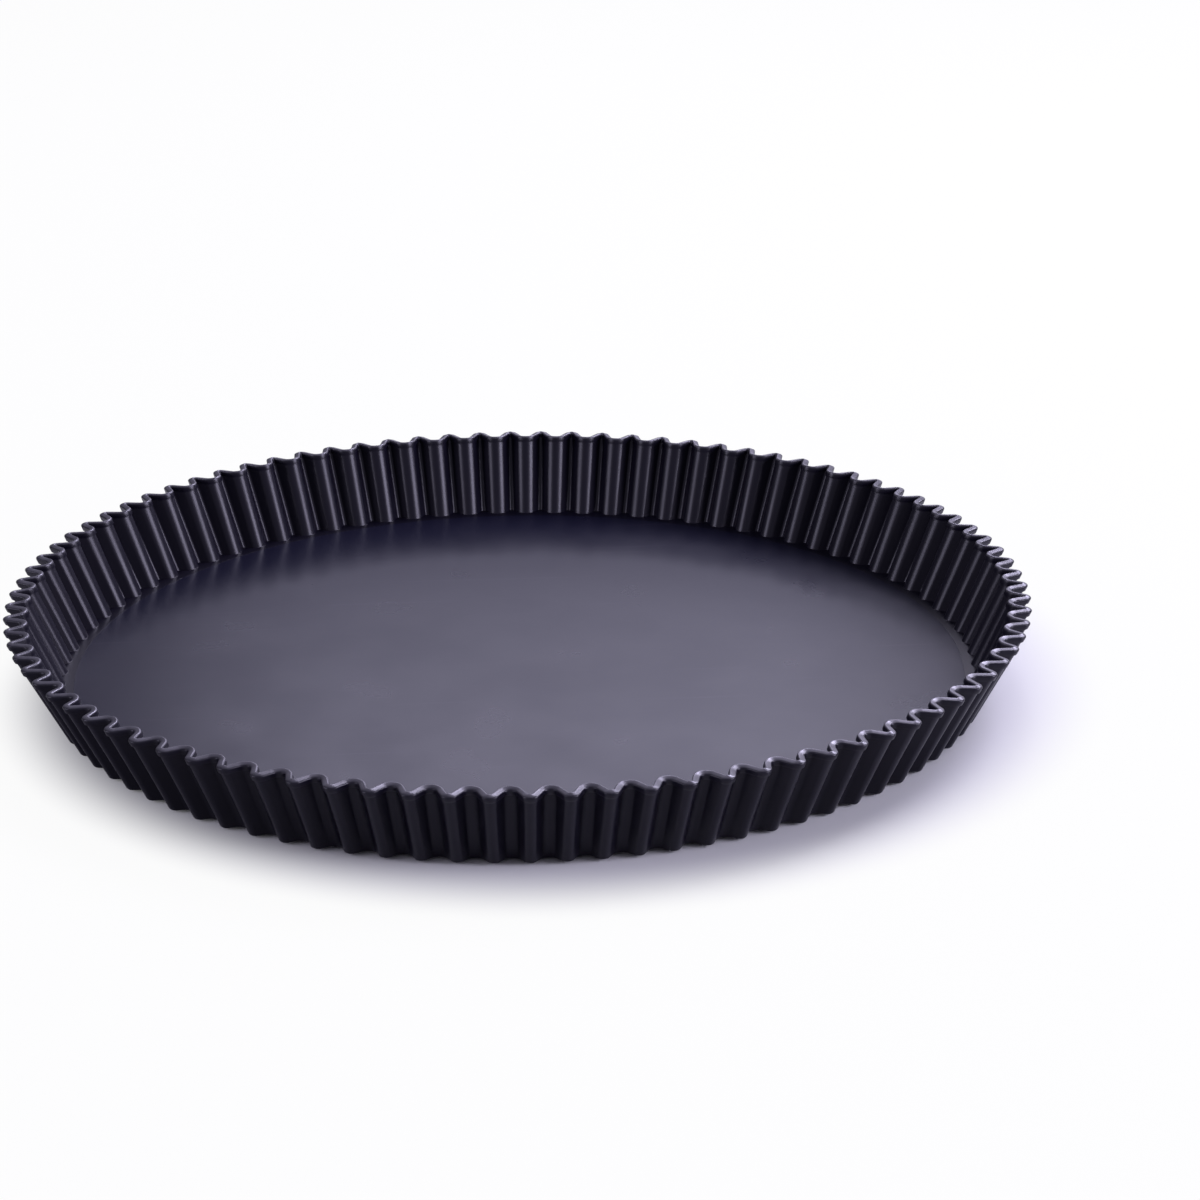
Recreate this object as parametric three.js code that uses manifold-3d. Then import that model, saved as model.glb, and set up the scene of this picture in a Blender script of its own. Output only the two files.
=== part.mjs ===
// A round fluted flan pan: a fluted ring with a stepped ledge, and a loose base that lies in the step.
// Millimetres, +Z up. The origin is on the pan's axis, in the plane that the pan stands on.

import * as THREE from 'three';
import { mergeVertices } from 'three/addons/utils/BufferGeometryUtils.js';
import Module from 'manifold-3d';

// Driving dimensions, in millimetres

const RIM_DIAMETER = 295; // across the outside of the crests at the rim
const FOOT_DIAMETER = 271; // across the outside of the crests at the foot
const HEIGHT = 25; // from the standing plane to the rim
const RING_SHEET = 1; // thickness of the ring's metal
const BASE_SHEET = 0.6; // thickness of the base's metal
const FLUTE_COUNT = 90;
const FLUTE_DEPTH = 5.1; // from crest to trough, on one face of the metal
const CREST_BEND = 1.4; // radius of a crest, in the middle of the metal
const TROUGH_BEND = 2.6; // radius of a trough, in the middle of the metal
const LEDGE_WIDTH = 8.5; // how far the ledge reaches in under the base
const SEAT_MARGIN = 1.2; // floor left between the feet of the flutes and the seat
const SEAT_CLEARANCE = 0.25; // gap round the loose base
const BASE_EDGE = 0.15; // broken edge of the base

// Looks of the two coats

const RING_COAT = { color: 0x15151c, roughness: 0.42, metalness: 0.1 };
const BASE_COAT = { color: 0x1a1a22, roughness: 0.38, metalness: 0.1 };

// Smoothness of the round forms

const CREST_STEPS = 4; // straight steps round a crest
const TROUGH_STEPS = 6; // straight steps round a trough
const ROUND_SEGMENTS = 180; // sides of a full circle
const OVERRUN = 2; // how far a cut runs past the face that it opens

// Levels above the standing plane

const ledgeTop = RING_SHEET;
const floorTop = ledgeTop + BASE_SHEET;
const footUnderside = floorTop - RING_SHEET;

// Form of one flute, with the lengths taken along the rim in the middle of the metal

const middleRadius = (RIM_DIAMETER - RING_SHEET - FLUTE_DEPTH) / 2;
const flutePitch = (2 * Math.PI * middleRadius) / FLUTE_COUNT;
const bendDrop = FLUTE_DEPTH - CREST_BEND - TROUGH_BEND;
const flankTilt = Math.asin((CREST_BEND + TROUGH_BEND) / Math.hypot(flutePitch / 2, bendDrop));
const flankAngle = Math.atan2(bendDrop, flutePitch / 2) + flankTilt;

// Radii that the seat and the base share

const ridgeFootRadius = (middleRadius - FLUTE_DEPTH / 2 - RING_SHEET / 2) * taper(floorTop);
const seatRadius = ridgeFootRadius - SEAT_MARGIN;
const ledgeRadius = seatRadius - LEDGE_WIDTH;
const baseRadius = seatRadius - SEAT_CLEARANCE;

// Share of the rim's plan that the wall has at a level: the flutes narrow evenly towards the foot.
function taper(level) {
  const belowRim = (HEIGHT - level) / (HEIGHT - footUnderside);
  return 1 - (1 - FOOT_DIAMETER / RIM_DIAMETER) * belowRim;
}

// Points round one crest or trough, from flank to flank. Side is 1 on a crest and -1 in a trough.
function bendPoints(centreAlong, side, bend, steps, faceOffset) {
  const centreDepth = side * (FLUTE_DEPTH / 2 - bend);
  const radius = bend + side * faceOffset;
  return Array.from({ length: steps + 1 }, (_, step) => {
    const angle = THREE.MathUtils.lerp(-flankAngle, flankAngle, step / steps);
    const along = centreAlong + radius * Math.sin(angle);
    const depth = centreDepth + side * radius * Math.cos(angle);
    return new THREE.Vector2(along, depth);
  });
}

// Closed plan of one face of the wall at the rim. The offset is outwards from the middle of the metal.
function wallPlan(faceOffset) {
  const oneFlute = [
    ...bendPoints(0, 1, CREST_BEND, CREST_STEPS, faceOffset),
    ...bendPoints(flutePitch / 2, -1, TROUGH_BEND, TROUGH_STEPS, faceOffset),
  ];
  return Array.from({ length: FLUTE_COUNT }, (_, flute) => flute).flatMap((flute) =>
    oneFlute.map((point) => {
      const angle = (flute * flutePitch + point.x) / middleRadius;
      const radius = middleRadius + point.y;
      return new THREE.Vector2(radius * Math.cos(angle), radius * Math.sin(angle));
    })
  );
}

// Upright form with the plan of the rim, drawn in at each level by the taper.
function taperedForm(plan, low, high) {
  const form = new THREE.ExtrudeGeometry(new THREE.Shape(plan), { depth: high - low, bevelEnabled: false });
  form.translate(0, 0, low);
  const position = form.getAttribute('position');
  for (let index = 0; index < position.count; index += 1) {
    const share = taper(position.getZ(index));
    position.setXY(index, position.getX(index) * share, position.getY(index) * share);
  }
  return form;
}

// Round plate between two levels.
function plateForm(radius, low, high) {
  const form = new THREE.CylinderGeometry(radius, radius, high - low, ROUND_SEGMENTS);
  return form.rotateX(Math.PI / 2).translate(0, 0, (low + high) / 2);
}

const wasm = await Module();
wasm.setup();

function solidOf(form) {
  form.deleteAttribute('normal');
  form.deleteAttribute('uv');
  const merged = mergeVertices(form);
  const vertProperties = merged.getAttribute('position').array;
  const triVerts = merged.getIndex().array;
  return new wasm.Manifold(new wasm.Mesh({ numProp: 3, vertProperties, triVerts }));
}

function geometryOf(solid) {
  const { vertProperties, triVerts } = solid.getMesh();
  const geometry = new THREE.BufferGeometry();
  geometry.setAttribute('position', new THREE.BufferAttribute(vertProperties, 3));
  geometry.setIndex(new THREE.BufferAttribute(triVerts, 1));
  geometry.computeVertexNormals();
  return geometry;
}

// The ring is its outside form less the fluted space, the seat and the hole in the ledge.
function flutedRing() {
  const wallOutside = solidOf(taperedForm(wallPlan(RING_SHEET / 2), footUnderside, HEIGHT));
  const stepOutside = solidOf(plateForm(seatRadius + RING_SHEET, 0, floorTop));
  const wallInside = solidOf(taperedForm(wallPlan(-RING_SHEET / 2), floorTop, HEIGHT + OVERRUN));
  const seatInside = solidOf(plateForm(seatRadius, ledgeTop, floorTop + OVERRUN));
  const ledgeInside = solidOf(plateForm(ledgeRadius, -OVERRUN, ledgeTop + OVERRUN));
  const outside = wallOutside.add(stepOutside);
  const inside = wallInside.add(seatInside).add(ledgeInside);
  const form = geometryOf(outside.subtract(inside));
  const ring = new THREE.Mesh(form, new THREE.MeshStandardMaterial(RING_COAT));
  ring.name = 'fluted_ring';
  return ring;
}

// The base is a flat disc with broken edges that rests on the ledge, level with the floor of the flutes.
function looseBase() {
  const profile = [
    new THREE.Vector2(0, ledgeTop),
    new THREE.Vector2(baseRadius - BASE_EDGE, ledgeTop),
    new THREE.Vector2(baseRadius, ledgeTop + BASE_EDGE),
    new THREE.Vector2(baseRadius, floorTop - BASE_EDGE),
    new THREE.Vector2(baseRadius - BASE_EDGE, floorTop),
    new THREE.Vector2(0, floorTop),
  ];
  const disc = new THREE.LatheGeometry(profile, ROUND_SEGMENTS).rotateX(Math.PI / 2);
  const base = new THREE.Mesh(disc, new THREE.MeshStandardMaterial(BASE_COAT));
  base.name = 'loose_base';
  return base;
}

const flanPan = new THREE.Group();
flanPan.add(flutedRing(), looseBase());

export default flanPan;
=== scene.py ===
"""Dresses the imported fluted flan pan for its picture: the fluted ring, the loose base and the studio."""

import math

import bmesh
import bpy
from mathutils import Matrix, Vector


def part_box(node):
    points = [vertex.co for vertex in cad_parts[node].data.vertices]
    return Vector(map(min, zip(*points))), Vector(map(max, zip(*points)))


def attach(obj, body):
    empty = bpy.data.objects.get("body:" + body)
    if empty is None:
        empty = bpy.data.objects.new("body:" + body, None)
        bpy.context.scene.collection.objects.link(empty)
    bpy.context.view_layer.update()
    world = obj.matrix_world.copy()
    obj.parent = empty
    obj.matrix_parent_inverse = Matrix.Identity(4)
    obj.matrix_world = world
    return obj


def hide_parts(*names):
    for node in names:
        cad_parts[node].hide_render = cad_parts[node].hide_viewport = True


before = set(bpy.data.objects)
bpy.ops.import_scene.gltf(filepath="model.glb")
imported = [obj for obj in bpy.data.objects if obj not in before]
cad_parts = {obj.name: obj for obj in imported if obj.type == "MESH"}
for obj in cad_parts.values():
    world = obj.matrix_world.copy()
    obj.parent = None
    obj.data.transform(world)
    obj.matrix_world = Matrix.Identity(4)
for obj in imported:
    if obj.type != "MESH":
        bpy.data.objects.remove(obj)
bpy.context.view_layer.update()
RING_LOW, RING_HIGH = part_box("fluted_ring")
BASE_LOW, BASE_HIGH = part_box("loose_base")

bl_info = {
    "name": "Fluted Flan Pan",
    "version": (1, 0, 0),
    "blender": (4, 5, 0),
    "location": "3D View > Sidebar > Flan Pan",
    "description": "Models a fluted flan pan with a loose base and sets up its studio",
    "category": "Add Mesh",
}

MILLIMETRE = 0.001
LENGTH_DIGITS = 4  # digits shown for a large length
FINE_DIGITS = 5  # digits shown for a small length

# Fineness of the round forms

CORNERS = 4  # points that the plan of a flute starts from: two on the crest and two in the trough
TROUGH_CORNERS = (1, 2)  # the two of them in the trough, counted from the middle of a crest
FACE_SIDES = 4  # sides of a face in the walls: only the flat faces that close a plan have more
CREST_SEGMENTS = 4
TROUGH_SEGMENTS = 5
FOOT_SEGMENTS = 4
LIP_SEGMENTS = 5
EDGE_SEGMENTS = 2
BASE_SIDES = 360
BASE_INSETS = 3  # rings of faces inside the edge of the base's flat sides
ROUND_PROFILE = 0.5  # profile of a bevel that follows a circle
LIP_ROUNDING = 0.24  # share of the lip's thickness by which each of its edges is rounded
SMOOTH_ANGLE = math.radians(50)
FOOT_FLAT = 0.1 * MILLIMETRE  # flat strip after the foot's bend, so that the sheet does not fold there
CLOSE = 0.02 * MILLIMETRE  # how near to a place an edge or a face is taken to be on it

# Grain, wear with its painted highlight, and marks of the coating, with scales in patches to a metre

NOISE_DETAIL = 4
NOISE_SPAN = (0.3, 0.7)  # part of the noise's range that is used
GRAIN_SCALE = 1400  # grain of the sprayed film
GRAIN_STRENGTH = 0.10
FLOW_SCALE = 120  # waves where the wet film has flowed
FLOW_STRENGTH = 0.05
FILM_DEPTH = 0.05 * MILLIMETRE
DRIFT_SCALE = 30
WEAR_AND_HIGHLIGHT_SCALE = 160
WEAR_AND_HIGHLIGHT_LEAST = 0.5  # share of the wear and painted highlight on the least worn parts of the lip
WEAR_AND_HIGHLIGHT_DEPTH = 0.7 * MILLIMETRE  # how far down from the rim the wear and its painted highlight reach
RUB_SCALE = 9
RUB_STRETCH = 40  # how many times longer than broad the rub marks are
RUB_TURNS = (math.radians(20), math.radians(-55))
RUB_SPAN = (0.62, 0.8)  # part of the noise's range in which a rub mark fades in
SPECK_SCALE = 16
SPECK_SIZE = 0.014  # share of the space between specks that a speck fills

# Camera's frame and the fixed parts of the studio

PICTURE_WIDTH = 1200  # pixels
SENSOR_WIDTH = 36  # millimetres
FLOOR_SIDES = 96
FLOOR_RADIUS = 4.0
FLOOR_ROUGHNESS = 0.8
SHADOW_MIDDLE = (8 * MILLIMETRE, -5 * MILLIMETRE, 0)
SHADOW_FADE = (130 * MILLIMETRE, 162 * MILLIMETRE)  # from its middle, where the floor turns white
SHINE_FADE = (165 * MILLIMETRE, 320 * MILLIMETRE)  # the same where the floor shows in the pan's shine
WHITE_SHARE = 0.95  # how much of the floor's look is plain white, far from the pan
SURROUND_FADE = (0.35, 0.95)  # how near to its pale part the surround starts and stops getting paler
WINDOW_FADE = (0.75, 0.97)  # the same for the window


# Settings that a user would change


class PanSizes(bpy.types.PropertyGroup):
    """Sizes of the pan's two pieces, in metres."""

    rim_diameter: bpy.props.FloatProperty(
        name="Rim Diameter", description="Across the outside of the crests at the rim",
        default=RING_HIGH.x - RING_LOW.x, unit="LENGTH", precision=LENGTH_DIGITS)
    foot_diameter: bpy.props.FloatProperty(
        name="Foot Diameter", description="Across the outside of the crests at the foot",
        default=271 * MILLIMETRE, unit="LENGTH", precision=LENGTH_DIGITS)
    height: bpy.props.FloatProperty(
        name="Height", description="From the standing plane to the rim",
        default=RING_HIGH.z, unit="LENGTH", precision=LENGTH_DIGITS)
    ring_sheet: bpy.props.FloatProperty(
        name="Ring Sheet", description="Thickness of the ring's metal",
        default=BASE_LOW.z, unit="LENGTH", precision=FINE_DIGITS)
    lip_sheet: bpy.props.FloatProperty(
        name="Lip Sheet", description="Thickness of the metal at the rounded lip",
        default=1.9 * MILLIMETRE, unit="LENGTH", precision=FINE_DIGITS)
    lip_height: bpy.props.FloatProperty(
        name="Lip Height", description="Height of the thicker lip",
        default=1.6 * MILLIMETRE, unit="LENGTH", precision=FINE_DIGITS)
    lip_run: bpy.props.FloatProperty(
        name="Lip Run", description="Height over which the lip thins to the plain sheet",
        default=0.5 * MILLIMETRE, unit="LENGTH", precision=FINE_DIGITS)
    floor_level: bpy.props.FloatProperty(
        name="Floor Level", description="Height of the pan's inside floor",
        default=BASE_HIGH.z, unit="LENGTH", precision=FINE_DIGITS)
    flute_count: bpy.props.IntProperty(
        name="Flute Count", description="Number of flutes round the wall", default=90, min=12)
    flute_depth: bpy.props.FloatProperty(
        name="Flute Depth", description="From crest to trough, on one face of the metal",
        default=5.1 * MILLIMETRE, unit="LENGTH", precision=FINE_DIGITS)
    crest_bend: bpy.props.FloatProperty(
        name="Crest Bend", description="Radius of a crest at the rim, in the middle of the metal",
        default=1.4 * MILLIMETRE, unit="LENGTH", precision=FINE_DIGITS)
    trough_bend: bpy.props.FloatProperty(
        name="Trough Bend", description="Radius of a trough at the rim, in the middle of the metal",
        default=2.6 * MILLIMETRE, unit="LENGTH", precision=FINE_DIGITS)
    foot_bend: bpy.props.FloatProperty(
        name="Foot Bend", description="Radius of the wall's turn to the floor, in the middle of the metal",
        default=0.6 * MILLIMETRE, unit="LENGTH", precision=FINE_DIGITS)
    foot_gather: bpy.props.FloatProperty(
        name="Foot Gather", description="How far the flutes flatten out towards the foot",
        default=0.35, min=0, max=1, subtype="FACTOR")
    seat_radius: bpy.props.FloatProperty(
        name="Seat Radius", description="Radius of the round step that the base lies in",
        default=BASE_HIGH.x - 0.2 * MILLIMETRE, unit="LENGTH", precision=FINE_DIGITS)
    seat_gap: bpy.props.FloatProperty(
        name="Seat Gap", description="Gap that shows round the loose base",
        default=0.02 * MILLIMETRE, unit="LENGTH", precision=FINE_DIGITS)
    ledge_width: bpy.props.FloatProperty(
        name="Ledge Width", description="How far the ledge reaches in under the base",
        default=8.5 * MILLIMETRE, unit="LENGTH", precision=FINE_DIGITS)
    broken_edge: bpy.props.FloatProperty(
        name="Broken Edge", description="Rounding of the edges at the seat and the base",
        default=0.03 * MILLIMETRE, unit="LENGTH", precision=FINE_DIGITS)


class PanFinish(bpy.types.PropertyGroup):
    """Colours of the release coating and how it shines."""

    coat_colour: bpy.props.FloatVectorProperty(
        name="Coat Colour", description="Release coating of the ring", subtype="COLOR", size=4,
        default=(0.003, 0.0024, 0.007, 1))
    # Painted sheen: the base's coating is set lighter and bluer than the ring's, standing in for the
    # lavender shine of its up-facing floor.
    base_coat_and_sheen_colour: bpy.props.FloatVectorProperty(
        name="Base Colour", description="Release coating of the base, with the bloom of its use",
        subtype="COLOR", size=4, default=(0.0055, 0.0055, 0.015, 1))
    scuff_colour: bpy.props.FloatVectorProperty(
        name="Scuff Colour", description="Rubbed places of the coating", subtype="COLOR", size=4,
        default=(0.055, 0.052, 0.075, 1))
    # Partly painted highlight: this lighter steel along the lip's top stands in for the highlight the lip
    # catches, besides showing wear.
    metal_and_highlight_colour: bpy.props.FloatVectorProperty(
        name="Metal Colour", description="Steel that shows where the lip is rubbed",
        subtype="COLOR", size=4, default=(0.38, 0.37, 0.41, 1))
    shine_colour: bpy.props.FloatVectorProperty(
        name="Shine Colour", description="Tint of the coating's shine, seen straight on",
        subtype="COLOR", size=4, default=(0.95, 0.93, 1.0, 1))
    ring_roughness: bpy.props.FloatProperty(
        name="Ring Roughness", description="How dull the ring's coating is", default=0.35, min=0, max=1)
    base_roughness: bpy.props.FloatProperty(
        name="Base Roughness", description="How dull the base's coating is", default=0.3, min=0, max=1)
    roughness_drift: bpy.props.FloatProperty(
        name="Roughness Drift", description="How far the dullness drifts from place to place",
        default=0.03, min=0, max=1)
    refraction: bpy.props.FloatProperty(
        name="Refraction", description="Index of refraction of the coating", default=1.34, min=1)
    # Amount of the worn steel band on the lip's top, which also paints in the lip's highlight.
    lip_wear_and_highlight: bpy.props.FloatProperty(
        name="Lip Wear", description="How much the lip is rubbed",
        default=0.33, min=0, max=1, subtype="FACTOR")
    lip_polish: bpy.props.FloatProperty(
        name="Lip Polish", description="How much less dull the rubbed lip is", default=0.08, min=0, max=1)
    scuff_strength: bpy.props.FloatProperty(
        name="Scuff Strength", description="How plainly the rub marks on the base show",
        default=0.24, min=0, max=1, subtype="FACTOR")


class PanStudio(bpy.types.PropertyGroup):
    """Camera and light of the picture. Directions turn anticlockwise from the camera, seen from above."""

    camera_distance: bpy.props.FloatProperty(
        name="Camera Distance", description="From the camera to the middle of the pan",
        default=0.95632, unit="LENGTH", precision=LENGTH_DIGITS)
    camera_elevation: bpy.props.FloatProperty(
        name="Camera Elevation", description="Height of the camera above the floor, as an angle",
        default=math.radians(21.316), subtype="ANGLE")
    camera_azimuth: bpy.props.FloatProperty(
        name="Camera Azimuth", description="Direction of the camera round the pan",
        default=math.radians(-92.803), subtype="ANGLE")
    camera_roll: bpy.props.FloatProperty(
        name="Camera Roll", description="Lean of the camera to its left",
        default=math.radians(-0.383), subtype="ANGLE")
    aim_right: bpy.props.FloatProperty(
        name="Aim Right", description="How far right of the pan's middle the camera points",
        default=23.5 * MILLIMETRE, unit="LENGTH", precision=LENGTH_DIGITS)
    aim_up: bpy.props.FloatProperty(
        name="Aim Up", description="How far above the pan's middle the camera points",
        default=7.5 * MILLIMETRE, unit="LENGTH", precision=LENGTH_DIGITS)
    focal_pixels: bpy.props.FloatProperty(
        name="Focal Length", description="Focal length in pixels of the picture's width", default=3294.4)
    floor_colour: bpy.props.FloatVectorProperty(
        name="Floor Colour", description="Pale floor",
        subtype="COLOR", size=4, default=(0.55, 0.55, 0.55, 1))
    light_colour: bpy.props.FloatVectorProperty(
        name="Light Colour", description="Tint of the lamps and of the surround", subtype="COLOR", size=4,
        default=(0.82, 0.79, 1.0, 1))
    surround_front: bpy.props.FloatProperty(
        name="Surround Front", description="Brightness of the surround behind the camera",
        default=0.5, min=0)
    surround_back: bpy.props.FloatProperty(
        name="Surround Back", description="Brightness of the surround behind the pan",
        default=0.2, min=0)
    front_elevation: bpy.props.FloatProperty(
        name="Front Elevation", description="Height of the surround's pale part, as an angle",
        default=math.radians(30), subtype="ANGLE")
    window_turn: bpy.props.FloatProperty(
        name="Window Turn", description="Direction of the bright part of the surround",
        default=math.radians(150), subtype="ANGLE")
    window_strength: bpy.props.FloatProperty(
        name="Window Strength", description="Brightness of the bright part of the surround",
        default=1, min=0)
    back_elevation: bpy.props.FloatProperty(
        name="Back Elevation", description="Height of the light behind the pan, as an angle",
        default=math.radians(30.5), subtype="ANGLE")
    back_turn: bpy.props.FloatProperty(
        name="Back Turn", description="Direction of the light behind the pan, which shows in the base",
        default=math.radians(179.5), subtype="ANGLE")
    back_width: bpy.props.FloatProperty(
        name="Back Width", description="Width of the light behind the pan",
        default=0.48, unit="LENGTH")
    back_height: bpy.props.FloatProperty(
        name="Back Height", description="Height of the light behind the pan",
        default=0.38, unit="LENGTH")
    back_power: bpy.props.FloatProperty(
        name="Back Power", description="Power of the light behind the pan",
        default=1.7, unit="POWER")
    side_elevation: bpy.props.FloatProperty(
        name="Side Elevation", description="Height of the lights on the right and left, as an angle",
        default=math.radians(21), subtype="ANGLE")
    side_width: bpy.props.FloatProperty(
        name="Side Width", description="Width of the lights on the right and left",
        default=0.7, unit="LENGTH")
    side_height: bpy.props.FloatProperty(
        name="Side Height", description="Height of the lights on the right and left",
        default=0.5, unit="LENGTH")
    right_turn: bpy.props.FloatProperty(
        name="Right Turn", description="Direction of the light on the right",
        default=math.radians(70), subtype="ANGLE")
    right_power: bpy.props.FloatProperty(
        name="Right Power", description="Power of the light on the right",
        default=19, unit="POWER")
    left_turn: bpy.props.FloatProperty(
        name="Left Turn", description="Direction of the light on the left",
        default=math.radians(-70), subtype="ANGLE")
    left_power: bpy.props.FloatProperty(
        name="Left Power", description="Power of the light on the left",
        default=8, unit="POWER")
    rim_elevation: bpy.props.FloatProperty(
        name="Rim Elevation", description="Height of the light that picks out the rim, as an angle",
        default=math.radians(42), subtype="ANGLE")
    rim_turn: bpy.props.FloatProperty(
        name="Rim Turn", description="Direction of the light behind on the right, which picks out the rim",
        default=math.radians(135), subtype="ANGLE")
    rim_width: bpy.props.FloatProperty(
        name="Rim Width", description="Width of the light that picks out the rim",
        default=0.6, unit="LENGTH")
    rim_height: bpy.props.FloatProperty(
        name="Rim Height", description="Height of the light that picks out the rim",
        default=0.5, unit="LENGTH")
    rim_power: bpy.props.FloatProperty(
        name="Rim Power", description="Power of the light that picks out the rim",
        default=16, unit="POWER")
    strip_elevation: bpy.props.FloatProperty(
        name="Strip Elevation", description="Height of the narrow light that shows on the lip, as an angle",
        default=math.radians(45), subtype="ANGLE")
    strip_turn: bpy.props.FloatProperty(
        name="Strip Turn", description="Direction of the narrow light that shows on the lip",
        default=math.radians(166), subtype="ANGLE")
    strip_width: bpy.props.FloatProperty(
        name="Strip Width", description="Width of the narrow light that shows on the lip",
        default=0.2, unit="LENGTH")
    strip_height: bpy.props.FloatProperty(
        name="Strip Height", description="Height of the narrow light that shows on the lip",
        default=0.5, unit="LENGTH")
    strip_power: bpy.props.FloatProperty(
        name="Strip Power", description="Power of the narrow light that shows on the lip",
        default=3.6, unit="POWER")
    lamp_distance: bpy.props.FloatProperty(
        name="Lamp Distance", description="From the lamps to the pan", default=1.3, unit="LENGTH")


# Selecting and shaping by place


def pick(piece, kind, test):
    """Selects, in edit mode, only the elements of one kind that pass the test."""
    bpy.ops.mesh.select_mode(type=kind)
    bpy.ops.mesh.select_all(action="DESELECT")
    form = bmesh.from_edit_mesh(piece.data)
    elements = {"VERT": form.verts, "EDGE": form.edges, "FACE": form.faces}[kind]
    for element in elements:
        if test(element):
            element.select_set(True)
    form.select_flush_mode()
    bmesh.update_edit_mesh(piece.data)


def turn(angle):
    """Turns the selection about the pan's axis, anticlockwise seen from above."""
    bpy.ops.transform.rotate(value=-angle, orient_axis="Z", center_override=(0, 0, 0))


def widen(factor):
    """Scales the selection away from the pan's axis."""
    bpy.ops.transform.resize(value=(factor, factor, 1), center_override=(0, 0, 0))


def extrude(rise, factor):
    """Extrudes the selection upwards by a rise, and scales what is new away from the axis."""
    bpy.ops.mesh.extrude_region_move(TRANSFORM_OT_translate={"value": (0, 0, rise)})
    widen(factor)


def round_corners(offset, segments):
    """Rounds the selected corners of a plan."""
    bpy.ops.mesh.bevel(offset=offset, segments=segments, profile=ROUND_PROFILE, affect="VERTICES")


def round_edges(offset, segments):
    """Rounds the selected edges."""
    bpy.ops.mesh.bevel(offset=offset, segments=segments, profile=ROUND_PROFILE, affect="EDGES")


def face_outwards():
    """Makes all the faces point outwards, or the same way on an open sheet."""
    bpy.ops.mesh.select_all(action="SELECT")
    bpy.ops.mesh.normals_make_consistent(inside=False)


def radius_of(point):
    """Distance of a point from the pan's axis."""
    return math.hypot(point.x, point.y)


def is_on_circle(edge, radius, level):
    """True where an edge lies on a level circle round the pan's axis."""
    return all(
        abs(radius_of(vert.co) - radius) < CLOSE and abs(vert.co.z - level) < CLOSE for vert in edge.verts)


def start_piece(name):
    """Names the primitive that was just added, and opens it for editing."""
    piece = bpy.context.active_object
    piece.name = name
    piece.data.name = name
    bpy.ops.object.mode_set(mode="EDIT")
    return piece


def finish_piece(piece, node, body, material):
    """Smooths a piece, gives it its finish and puts it in its node's place."""
    bpy.ops.object.mode_set(mode="OBJECT")
    bpy.ops.object.shade_smooth_by_angle(angle=SMOOTH_ANGLE)
    shading = piece.modifiers.new("shading", "WEIGHTED_NORMAL")
    shading.keep_sharp = True
    bpy.ops.object.modifier_apply(modifier=shading.name)
    piece.data.materials.clear()
    piece.data.materials.append(material)
    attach(piece, body)
    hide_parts(node)


# Fluted ring


class FlutePlan:
    """Form of the flutes in the middle of the metal, worked out from the pan's sizes."""

    def __init__(self, sizes):
        self.sizes = sizes
        self.crest_radius = (sizes.rim_diameter - sizes.lip_sheet) / 2
        self.trough_radius = self.crest_radius - sizes.flute_depth
        middle_radius = (self.crest_radius + self.trough_radius) / 2
        half_pitch = math.pi * middle_radius / sizes.flute_count
        drop = sizes.flute_depth - sizes.crest_bend - sizes.trough_bend
        tilt = math.asin((sizes.crest_bend + sizes.trough_bend) / math.hypot(half_pitch, drop))
        bend_share = math.tan((math.atan2(drop, half_pitch) + tilt) / 2)
        self.crest_half_angle = sizes.crest_bend * bend_share / middle_radius
        self.trough_half_angle = sizes.trough_bend * bend_share / middle_radius
        self.foot_level = sizes.floor_level - sizes.ring_sheet
        self.foot_radius = (sizes.foot_diameter - sizes.ring_sheet) / 2
        self.lean = math.atan2(self.crest_radius - self.foot_radius, sizes.height - self.foot_level)

    def taper(self, level):
        """Share of the rim's plan that the wall has at a level."""
        below_rim = (self.sizes.height - level) / (self.sizes.height - self.foot_level)
        return 1 - (1 - self.foot_radius / self.crest_radius) * below_rim


def set_corners(ring, plan):
    """Moves the points of a circle, four for each flute, to the corners of the crests and troughs."""
    step = math.tau / (CORNERS * plan.sizes.flute_count)
    crest_turn = plan.crest_half_angle - step / 2
    trough_turn = step / 2 - plan.trough_half_angle
    bpy.ops.mesh.select_all(action="SELECT")
    turn(step / 2)
    form = bmesh.from_edit_mesh(ring.data)
    angles = [math.atan2(vert.co.y, vert.co.x) - step / 2 for vert in form.verts]
    corners = [round(angle / step) % CORNERS for angle in angles]
    for corner, angle in enumerate((crest_turn, trough_turn, -trough_turn, -crest_turn)):
        pick(ring, "VERT", lambda vert: corners[vert.index] == corner)
        turn(angle)
    pick(ring, "VERT", lambda vert: corners[vert.index] in TROUGH_CORNERS)
    widen(plan.trough_radius / plan.crest_radius)


def round_flutes(ring, plan):
    """Rounds the corners of the plan until they meet in the middle of each crest and trough."""
    pick(ring, "VERT", lambda vert: radius_of(vert.co) > plan.crest_radius - CLOSE)
    round_corners(plan.crest_radius * math.sin(plan.crest_half_angle), CREST_SEGMENTS)
    pick(ring, "VERT", lambda vert: radius_of(vert.co) < plan.trough_radius + CLOSE)
    round_corners(plan.trough_radius * math.sin(plan.trough_half_angle), TROUGH_SEGMENTS)
    bpy.ops.mesh.select_all(action="SELECT")
    bpy.ops.mesh.remove_doubles(threshold=CLOSE)


def draw_wall(plan, levels):
    """Draws the plan down through the levels, narrowing it, and flattens the flutes at the foot."""
    bpy.ops.mesh.select_all(action="SELECT")
    bpy.ops.transform.translate(value=(0, 0, levels[0]))
    widen(plan.taper(levels[0]))
    for above, below in zip(levels, levels[1:]):
        extrude(below - above, plan.taper(below) / plan.taper(above))
    bpy.ops.transform.tosphere(value=plan.sizes.foot_gather)


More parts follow.
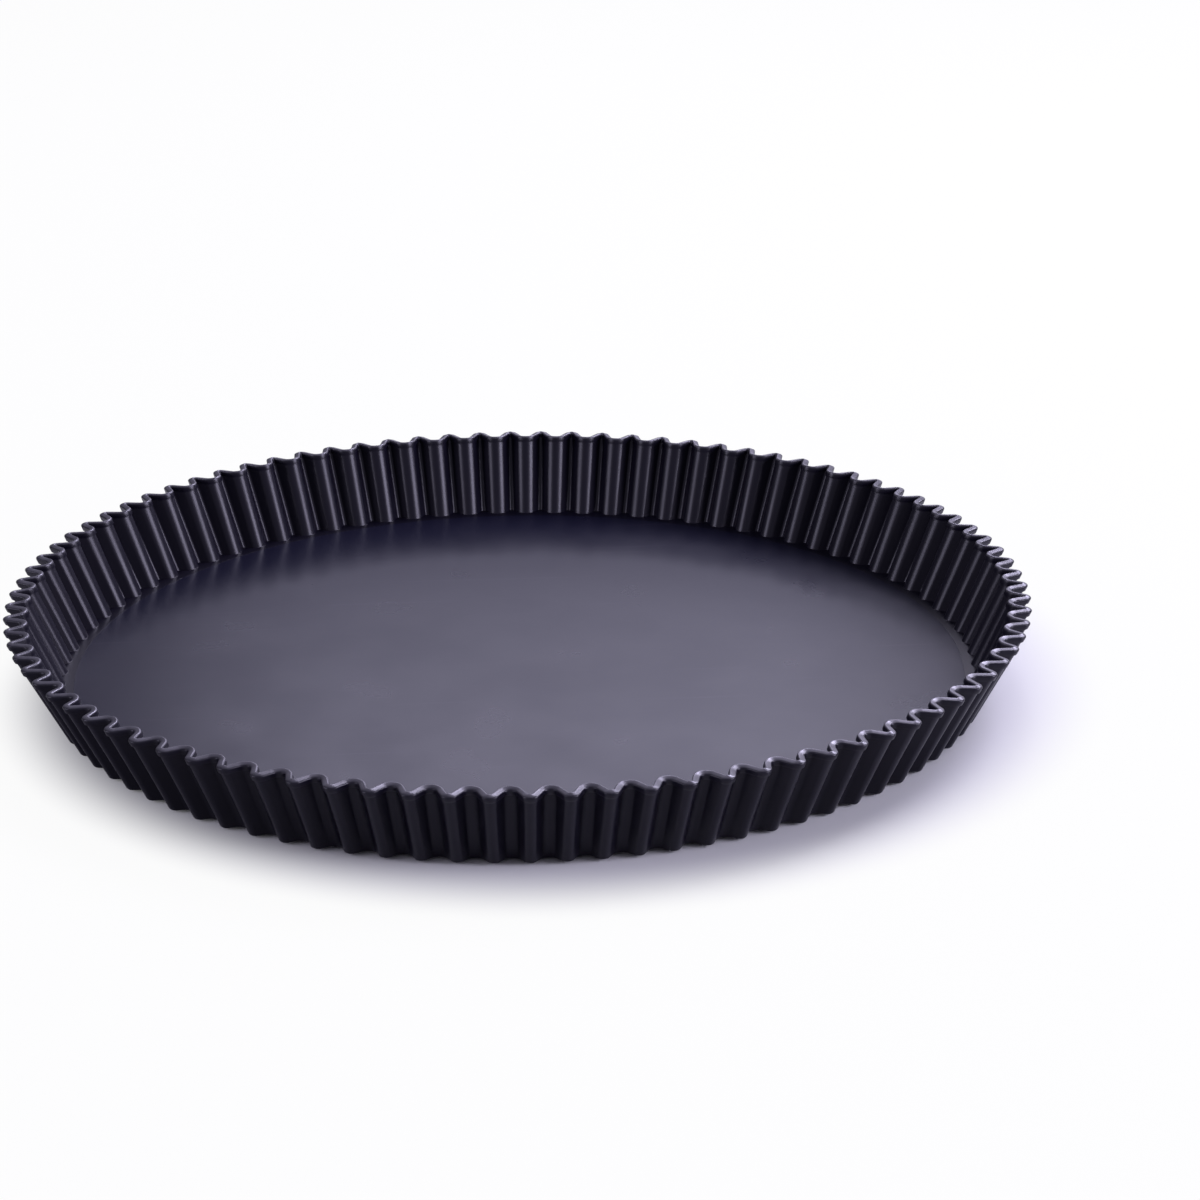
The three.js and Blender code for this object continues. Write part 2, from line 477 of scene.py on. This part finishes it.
def turn_in_foot(plan):
    """Rounds the wall in to the floor: each step insets the floor's face and sinks it a little."""
    bend = plan.sizes.foot_bend
    sweep = math.pi / 2 - plan.lean
    angles = [plan.lean + sweep * step / FOOT_SEGMENTS for step in range(FOOT_SEGMENTS + 1)]
    for start, end in zip(angles, angles[1:]):
        inwards = bend * (math.cos(start) - math.cos(end))
        downwards = bend * (math.sin(end) - math.sin(start))
        bpy.ops.mesh.inset(thickness=inwards, depth=-downwards, use_even_offset=True)
    bpy.ops.mesh.inset(thickness=FOOT_FLAT, use_even_offset=True)


def step_down_ledge(ring, sizes):
    """Gathers the floor's edge to a circle, steps it down for the base and draws it in as the ledge."""
    seat_middle = sizes.seat_radius + sizes.ring_sheet / 2
    bpy.ops.mesh.extrude_region_move(TRANSFORM_OT_translate={"value": (0, 0, 0)})
    bpy.ops.transform.tosphere(value=1)
    form = bmesh.from_edit_mesh(ring.data)
    gathered = next(vert for vert in form.verts if vert.select)
    widen(seat_middle / radius_of(gathered.co))
    extrude(sizes.ring_sheet - sizes.floor_level, 1)
    extrude(0, (sizes.seat_radius - sizes.ledge_width) / seat_middle)


def give_thickness(ring, sizes, lip_bottom):
    """Thickens the sheet evenly, and a little more at the lip."""
    bpy.ops.object.mode_set(mode="OBJECT")
    lip = ring.vertex_groups.new(name="lip")
    lip.add([vert.index for vert in ring.data.vertices if vert.co.z > lip_bottom - CLOSE], 1, "REPLACE")
    sheet = ring.modifiers.new("sheet", "SOLIDIFY")
    sheet.thickness = sizes.lip_sheet
    sheet.offset = 0
    sheet.use_even_offset = True
    sheet.use_quality_normals = True
    sheet.vertex_group = lip.name
    sheet.thickness_vertex_group = sizes.ring_sheet / sizes.lip_sheet
    bpy.ops.object.modifier_apply(modifier=sheet.name)
    ring.vertex_groups.clear()
    bpy.ops.object.mode_set(mode="EDIT")


def round_band(ring, test, offset, segments):
    """Rounds both edges of the band of faces that passes the test."""
    pick(ring, "FACE", test)
    bpy.ops.mesh.region_to_loop()
    round_edges(offset, segments)


class FLANPAN_OT_fluted_ring(bpy.types.Operator):
    """Models the fluted ring with its rounded lip, its stepped seat and its ledge"""

    bl_idname = "flanpan.fluted_ring"
    bl_label = "Fluted Ring"

    def execute(self, context):
        sizes = context.scene.pan_sizes
        plan = FlutePlan(sizes)
        lip_corner = LIP_ROUNDING * sizes.lip_sheet
        lip_flat = sizes.lip_sheet / 2 - lip_corner
        lip_top = sizes.height - lip_flat * math.sin(plan.lean) - lip_corner * (1 - math.cos(plan.lean))
        lip_bottom = lip_top - sizes.lip_height
        foot_top = sizes.floor_level - sizes.ring_sheet / 2 + sizes.foot_bend * (1 - math.sin(plan.lean))
        ledge_radius = sizes.seat_radius - sizes.ledge_width

        bpy.ops.object.select_all(action="DESELECT")
        bpy.ops.mesh.primitive_circle_add(
            vertices=CORNERS * sizes.flute_count, radius=plan.crest_radius, fill_type="NGON")
        ring = start_piece("fluted_ring_sheet")
        set_corners(ring, plan)
        round_flutes(ring, plan)
        draw_wall(plan, (lip_top, lip_bottom, lip_bottom - sizes.lip_run, foot_top))
        turn_in_foot(plan)
        step_down_ledge(ring, sizes)
        pick(ring, "FACE", lambda face: len(face.verts) > FACE_SIDES)
        bpy.ops.mesh.delete(type="ONLY_FACE")
        face_outwards()

        give_thickness(ring, sizes, lip_bottom)
        round_band(
            ring, lambda face: face.calc_center_median().z > lip_top - CLOSE,
            lip_corner, LIP_SEGMENTS)
        round_band(
            ring, lambda face: radius_of(face.calc_center_median()) < ledge_radius + CLOSE,
            sizes.broken_edge, EDGE_SEGMENTS)
        pick(ring, "EDGE", lambda edge: is_on_circle(edge, sizes.seat_radius, sizes.floor_level)
             or is_on_circle(edge, sizes.seat_radius + sizes.ring_sheet, 0))
        round_edges(sizes.broken_edge, EDGE_SEGMENTS)
        face_outwards()
        coat = ring_coat(context.scene.pan_finish, sizes)
        finish_piece(ring, "fluted_ring", "ring", coat)
        return {"FINISHED"}


# Loose base


class FLANPAN_OT_loose_base(bpy.types.Operator):
    """Models the loose base: a flat disc with broken edges that lies in the ring's seat"""

    bl_idname = "flanpan.loose_base"
    bl_label = "Loose Base"

    def execute(self, context):
        sizes = context.scene.pan_sizes
        radius = sizes.seat_radius - sizes.seat_gap
        thickness = sizes.floor_level - sizes.ring_sheet
        bpy.ops.object.select_all(action="DESELECT")
        bpy.ops.mesh.primitive_circle_add(vertices=BASE_SIDES, radius=radius, fill_type="NGON")
        base = start_piece("loose_base_disc")
        bpy.ops.transform.translate(value=(0, 0, sizes.ring_sheet))
        bpy.ops.mesh.extrude_region_move(TRANSFORM_OT_translate={"value": (0, 0, thickness)})
        face_outwards()
        pick(base, "EDGE", lambda edge: is_on_circle(edge, radius, sizes.floor_level)
             or is_on_circle(edge, radius, sizes.ring_sheet))
        round_edges(sizes.broken_edge, EDGE_SEGMENTS)
        pick(base, "FACE", lambda face: len(face.verts) > FACE_SIDES)
        for _ in range(BASE_INSETS):
            bpy.ops.mesh.inset(thickness=radius / (BASE_INSETS + 1), use_even_offset=True)
        finish_piece(base, "loose_base", "base", base_coat(context.scene.pan_finish))
        return {"FINISHED"}


# Finishes


class Nodes:
    """Node tree of a material or of the surround, and the small steps that it is built from."""

    def __init__(self, owner):
        owner.use_nodes = True
        self.tree = owner.node_tree

    def link(self, output, socket):
        """Joins an output to a socket."""
        self.tree.links.new(output, socket)

    def spread(self, value, low, high, start=NOISE_SPAN[0], end=NOISE_SPAN[1]):
        """Spreads a value softly from its start and end to a low and a high one."""
        spread = self.tree.nodes.new("ShaderNodeMapRange")
        spread.interpolation_type = "SMOOTHSTEP"
        self.link(value, spread.inputs["Value"])
        spread.inputs["From Min"].default_value = start
        spread.inputs["From Max"].default_value = end
        spread.inputs["To Min"].default_value = low
        spread.inputs["To Max"].default_value = high
        return spread.outputs["Result"]

    def combine(self, operation, first, second):
        """Combines two values by a sum, a product or the like."""
        combine = self.tree.nodes.new("ShaderNodeMath")
        combine.operation = operation
        self.link(first, combine.inputs[0])
        self.link(second, combine.inputs[1])
        return combine.outputs["Value"]


class Surround(Nodes):
    """Surround of the studio, seen from the pan in every direction."""

    def nearness(self, direction):
        """How near each part of the surround lies to a direction: one in it, nought at right angles."""
        nearness = self.tree.nodes.new("ShaderNodeVectorMath")
        nearness.operation = "DOT_PRODUCT"
        nearness.inputs[1].default_value = direction
        self.link(self.tree.nodes.new("ShaderNodeTexCoord").outputs["Generated"], nearness.inputs[0])
        return nearness.outputs["Value"]


class Coat(Nodes):
    """Release coating of the pan: its shader, and the nodes that vary it over the surface."""

    def __init__(self, name, finish, roughness):
        self.material = bpy.data.materials.new(name)
        super().__init__(self.material)
        self.shader = self.tree.nodes["Principled BSDF"]
        self.shader.inputs["IOR"].default_value = finish.refraction
        self.shader.inputs["Specular Tint"].default_value = finish.shine_colour
        self.place = self.tree.nodes.new("ShaderNodeTexCoord").outputs["Object"]
        self.add_film()
        low = roughness - finish.roughness_drift
        high = roughness + finish.roughness_drift
        self.dullness = self.spread(self.noise(DRIFT_SCALE), low, high)
        self.link(self.dullness, self.shader.inputs["Roughness"])

    def noise(self, scale, place=None):
        """Soft noise at a scale, between nought and one."""
        noise = self.tree.nodes.new("ShaderNodeTexNoise")
        noise.inputs["Scale"].default_value = scale
        noise.inputs["Detail"].default_value = NOISE_DETAIL
        self.link(place or self.place, noise.inputs["Vector"])
        return noise.outputs["Fac"]

    def add_film(self):
        """Gives the surface the fine grain and the slow waves of a sprayed and baked film."""
        grain = self.tree.nodes.new("ShaderNodeBump")
        flow = self.tree.nodes.new("ShaderNodeBump")
        bumps = ((grain, GRAIN_SCALE, GRAIN_STRENGTH), (flow, FLOW_SCALE, FLOW_STRENGTH))
        for bump, scale, strength in bumps:
            bump.inputs["Strength"].default_value = strength
            bump.inputs["Distance"].default_value = FILM_DEPTH
            self.link(self.noise(scale), bump.inputs["Height"])
        self.link(flow.outputs["Normal"], grain.inputs["Normal"])
        self.link(grain.outputs["Normal"], self.shader.inputs["Normal"])

    def colour_by(self, amount, plain, marked):
        """Colours the coating between a plain and a marked colour by an amount that changes over the
        surface.
        """
        mix = self.tree.nodes.new("ShaderNodeMixRGB")
        mix.inputs["Color1"].default_value = plain
        mix.inputs["Color2"].default_value = marked
        self.link(amount, mix.inputs["Fac"])
        self.link(mix.outputs["Color"], self.shader.inputs["Base Color"])


def ring_coat(finish, sizes):
    """Coating of the ring, worn thin along the lip, which is smoother and lets steel show through. The
    lighter steel band on the lip's top also paints in the lip's highlight.
    """
    coat = Coat("ring release coat", finish, finish.ring_roughness)
    apart = coat.tree.nodes.new("ShaderNodeSeparateXYZ")
    coat.link(coat.place, apart.inputs["Vector"])
    wear_and_highlight_bottom = sizes.height - WEAR_AND_HIGHLIGHT_DEPTH
    worn_and_highlit = coat.spread(apart.outputs["Z"], 0, finish.lip_wear_and_highlight, wear_and_highlight_bottom, sizes.height)
    patches = coat.spread(coat.noise(WEAR_AND_HIGHLIGHT_SCALE), WEAR_AND_HIGHLIGHT_LEAST, 1)
    marked = coat.combine("MULTIPLY", worn_and_highlit, patches)
    # painted highlight: the lip's top is coloured lighter steel for the highlight it catches, besides its
    # wear
    coat.colour_by(marked, finish.coat_colour, finish.metal_and_highlight_colour)
    coat.link(marked, coat.shader.inputs["Metallic"])
    polished = coat.spread(apart.outputs["Z"], 0, finish.lip_polish, wear_and_highlight_bottom, sizes.height)
    coat.link(coat.combine("SUBTRACT", coat.dullness, polished), coat.shader.inputs["Roughness"])
    return coat.material


def base_coat(finish):
    """Coating of the base, with faint rub marks that cross each other and a few specks."""
    coat = Coat("base release coat", finish, finish.base_roughness)
    marks = speck_marks(coat)
    for angle in RUB_TURNS:
        marks = coat.combine("MAXIMUM", marks, rub_marks(coat, angle))
    strength = coat.spread(marks, 0, finish.scuff_strength, 0, 1)
    # the plain colour carries painted sheen: lighter and bluer than the ring's coating
    coat.colour_by(strength, finish.base_coat_and_sheen_colour, finish.scuff_colour)
    return coat.material


def rub_marks(coat, angle):
    """Thin rub marks that all run one way, as a spatula leaves."""
    stretch = coat.tree.nodes.new("ShaderNodeMapping")
    stretch.inputs["Rotation"].default_value = (0, 0, angle)
    stretch.inputs["Scale"].default_value = (1, RUB_STRETCH, 1)
    coat.link(coat.place, stretch.inputs["Vector"])
    return coat.spread(coat.noise(RUB_SCALE, stretch.outputs["Vector"]), 0, 1, *RUB_SPAN)


def speck_marks(coat):
    """Small specks, far apart."""
    cells = coat.tree.nodes.new("ShaderNodeTexVoronoi")
    cells.inputs["Scale"].default_value = SPECK_SCALE
    coat.link(coat.place, cells.inputs["Vector"])
    return coat.spread(cells.outputs["Distance"], 1, 0, 0, SPECK_SIZE)


# Studio


def towards(azimuth, elevation):
    """Unit vector in a direction."""
    level = math.cos(elevation)
    return Vector((level * math.cos(azimuth), level * math.sin(azimuth), math.sin(elevation)))


def add_soft_light(name, colour, place, target, width, height, power):
    """Adds a soft light that points at a target."""
    bpy.ops.object.light_add(type="AREA", location=place)
    lamp = bpy.context.active_object
    lamp.name = name
    lamp.data.shape = "RECTANGLE"
    lamp.data.size = width
    lamp.data.size_y = height
    lamp.data.energy = power
    lamp.data.color = colour[:3]
    lamp.rotation_euler = (target - place).to_track_quat("-Z", "Y").to_euler()


def add_lights(studio, middle):
    """Adds the five lights that stand round the pan."""
    lights = (
        ("right light", studio.right_turn, studio.side_elevation,
         studio.side_width, studio.side_height, studio.right_power),
        ("left light", studio.left_turn, studio.side_elevation,
         studio.side_width, studio.side_height, studio.left_power),
        ("rim light", studio.rim_turn, studio.rim_elevation,
         studio.rim_width, studio.rim_height, studio.rim_power),
        ("lip light", studio.strip_turn, studio.strip_elevation,
         studio.strip_width, studio.strip_height, studio.strip_power),
        ("back light", studio.back_turn, studio.back_elevation,
         studio.back_width, studio.back_height, studio.back_power),
    )
    for name, turned, elevation, width, height, power in lights:
        place = towards(studio.camera_azimuth + turned, elevation) * studio.lamp_distance
        add_soft_light(name, studio.light_colour, place, middle, width, height, power)


def floor_paper(studio):
    """Paper that takes the pan's shadow. Farther off, the camera and the pan's shine see plain white."""
    material = bpy.data.materials.new("studio paper")
    paper = Nodes(material)
    lit = paper.tree.nodes["Principled BSDF"]
    lit.inputs["Base Color"].default_value = studio.floor_colour
    lit.inputs["Roughness"].default_value = FLOOR_ROUGHNESS
    plain = paper.tree.nodes.new("ShaderNodeEmission")
    away = paper.tree.nodes.new("ShaderNodeVectorMath")
    away.operation = "DISTANCE"
    away.inputs[1].default_value = SHADOW_MIDDLE
    paper.link(paper.tree.nodes.new("ShaderNodeTexCoord").outputs["Object"], away.inputs[0])
    rays = paper.tree.nodes.new("ShaderNodeLightPath").outputs
    mirrored = paper.combine("MAXIMUM", rays["Is Glossy Ray"], rays["Is Transmission Ray"])
    shares = [
        paper.combine("MULTIPLY", ray, paper.spread(away.outputs["Value"], 0, WHITE_SHARE, *fade))
        for ray, fade in ((rays["Is Camera Ray"], SHADOW_FADE), (mirrored, SHINE_FADE))]
    mix = paper.tree.nodes.new("ShaderNodeMixShader")
    paper.link(paper.combine("ADD", *shares), mix.inputs["Fac"])
    paper.link(lit.outputs["BSDF"], mix.inputs[1])
    paper.link(plain.outputs["Emission"], mix.inputs[2])
    paper.link(mix.outputs["Shader"], paper.tree.nodes["Material Output"].inputs["Surface"])
    return material


def add_floor(studio):
    """Lays the pale floor that the pan stands on."""
    bpy.ops.object.select_all(action="DESELECT")
    bpy.ops.mesh.primitive_circle_add(vertices=FLOOR_SIDES, radius=FLOOR_RADIUS, fill_type="NGON")
    floor = bpy.context.active_object
    floor.name = "studio_floor"
    floor.data.materials.append(floor_paper(studio))


def add_surround(scene, studio):
    """Makes the surround: pale behind the camera, darker behind the pan, a window behind on the right."""
    world = bpy.data.worlds.new("studio surround")
    surround = Surround(world)
    background = surround.tree.nodes["Background"]
    background.inputs["Color"].default_value = studio.light_colour
    camera_side = towards(studio.camera_azimuth, studio.front_elevation)
    window_side = towards(studio.camera_azimuth + studio.window_turn, 0)
    walls = surround.spread(
        surround.nearness(camera_side), studio.surround_back, studio.surround_front, *SURROUND_FADE)
    window = surround.spread(surround.nearness(window_side), 0, studio.window_strength, *WINDOW_FADE)
    surround.link(surround.combine("ADD", walls, window), background.inputs["Strength"])
    scene.world = world


def add_camera(scene, studio, middle):
    """Puts the camera at the picture's viewing angle."""
    place = middle + towards(studio.camera_azimuth, studio.camera_elevation) * studio.camera_distance
    view = (middle - place).to_track_quat("-Z", "Y")
    target = middle + view @ Vector((studio.aim_right, studio.aim_up, 0))
    aim = (target - place).to_track_quat("-Z", "Y")
    bpy.ops.object.camera_add(location=place)
    camera = bpy.context.active_object
    camera.name = "picture camera"
    camera.rotation_euler = (aim.to_matrix() @ Matrix.Rotation(studio.camera_roll, 3, "Z")).to_euler()
    camera.data.sensor_width = SENSOR_WIDTH
    camera.data.lens = SENSOR_WIDTH * studio.focal_pixels / PICTURE_WIDTH
    scene.camera = camera


class FLANPAN_OT_studio(bpy.types.Operator):
    """Sets up the pale floor, the surround, the soft lights and the camera"""

    bl_idname = "flanpan.studio"
    bl_label = "Studio"

    def execute(self, context):
        scene = context.scene
        studio = scene.pan_studio
        middle = Vector((0, 0, scene.pan_sizes.height / 2))
        add_floor(studio)
        add_surround(scene, studio)
        add_lights(studio, middle)
        add_camera(scene, studio, middle)
        scene.view_settings.view_transform = "Standard"
        return {"FINISHED"}


# Sidebar


class FLANPAN_PT_sidebar(bpy.types.Panel):
    """Lists the pan's steps and settings in the sidebar"""

    bl_idname = "FLANPAN_PT_sidebar"
    bl_label = "Fluted Flan Pan"
    bl_space_type = "VIEW_3D"
    bl_region_type = "UI"
    bl_category = "Flan Pan"

    def draw(self, context):
        for step in STEPS:
            self.layout.operator(step.bl_idname)
        for settings in (context.scene.pan_sizes, context.scene.pan_finish, context.scene.pan_studio):
            column = self.layout.column(align=True)
            for name in settings.__annotations__:
                column.prop(settings, name)


STEPS = (FLANPAN_OT_fluted_ring, FLANPAN_OT_loose_base, FLANPAN_OT_studio)
CLASSES = (PanSizes, PanFinish, PanStudio, *STEPS, FLANPAN_PT_sidebar)


def register():
    """Registers the classes and gives the scene its settings."""
    for kind in CLASSES:
        bpy.utils.register_class(kind)
    bpy.types.Scene.pan_sizes = bpy.props.PointerProperty(type=PanSizes)
    bpy.types.Scene.pan_finish = bpy.props.PointerProperty(type=PanFinish)
    bpy.types.Scene.pan_studio = bpy.props.PointerProperty(type=PanStudio)


def unregister():
    """Takes the settings and the classes away again."""
    del bpy.types.Scene.pan_studio
    del bpy.types.Scene.pan_finish
    del bpy.types.Scene.pan_sizes
    for kind in reversed(CLASSES):
        bpy.utils.unregister_class(kind)


def main():
    """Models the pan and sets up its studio."""
    register()
    bpy.ops.flanpan.fluted_ring()
    bpy.ops.flanpan.loose_base()
    bpy.ops.flanpan.studio()


if __name__ == "__main__":
    main()
